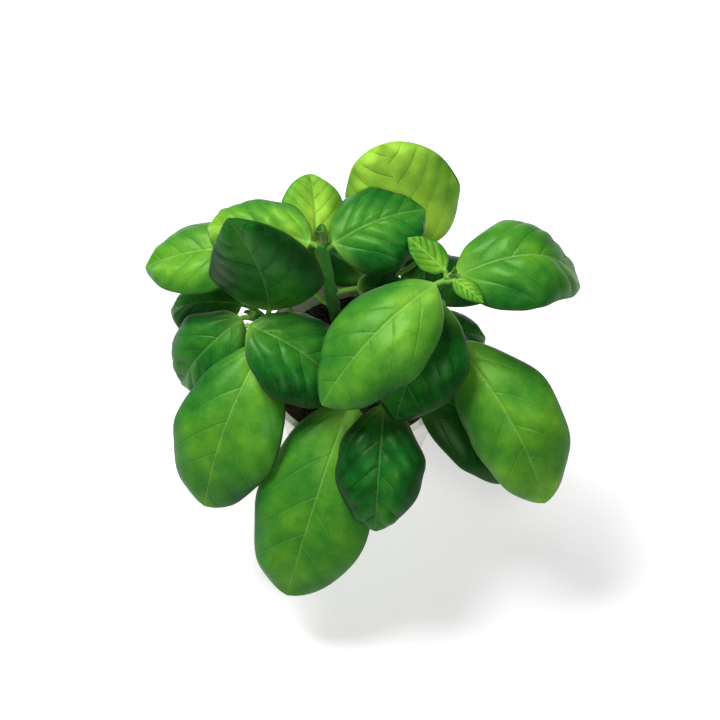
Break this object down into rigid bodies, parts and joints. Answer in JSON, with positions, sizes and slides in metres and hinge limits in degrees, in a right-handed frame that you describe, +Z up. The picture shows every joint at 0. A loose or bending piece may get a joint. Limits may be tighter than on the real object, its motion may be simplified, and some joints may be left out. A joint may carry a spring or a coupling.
{
  "type": "potted basil plant",
  "caption": "Bushy basil plant: glossy egg-shaped leaves on upright green stems, rooted in soil in a plain round tapered herb pot.",
  "frame": {"origin": "middle of the pot's underside, on the surface that the pot stands on", "axes": "+Z up; -Y is the front, the side the plant is looked at from; +X to the right"},
  "size_m": [0.1935, 0.1706, 0.1708],
  "materials": {
    "pot": "satin",
    "soil": "matte",
    "stem": "satin",
    "leaf": "satin",
    "young_leaf": "satin"
  },
  "bodies": {
    "root": {"pot": "pot", "soil": "soil", "stem_a": "stem", "stem_b": "stem", "stem_c": "stem", "stem_d": "stem", "stem_e": "stem", "shoot_tip_a": "young_leaf", "shoot_tip_b": "young_leaf", "shoot_tip_c": "young_leaf", "shoot_tip_d": "young_leaf", "shoot_tip_e": "young_leaf", "leaf_a_left": "young_leaf", "leaf_a_right": "leaf", "leaf_a_back": "young_leaf", "leaf_a_far_left": "young_leaf", "leaf_a_inner": "leaf", "leaf_a_rear": "leaf", "leaf_b_front": "leaf", "leaf_b_under": "leaf", "leaf_b_right": "young_leaf", "leaf_b_small_left": "young_leaf", "leaf_b_small_right": "young_leaf", "leaf_b_low_right": "leaf", "leaf_b_low_front": "leaf", "leaf_b_rear": "leaf", "leaf_b_lowest": "leaf", "leaf_c_upright": "leaf", "leaf_c_front": "leaf", "leaf_c_left": "leaf", "leaf_c_under_left": "leaf", "leaf_c_low_front": "leaf", "leaf_c_rear": "leaf", "leaf_c_lowest": "leaf", "leaf_d_right": "leaf", "leaf_d_left": "leaf", "leaf_e_upright": "young_leaf", "leaf_e_back": "leaf", "leaf_e_left": "leaf", "leaf_e_right": "leaf"}
  },
  "joints": []
}
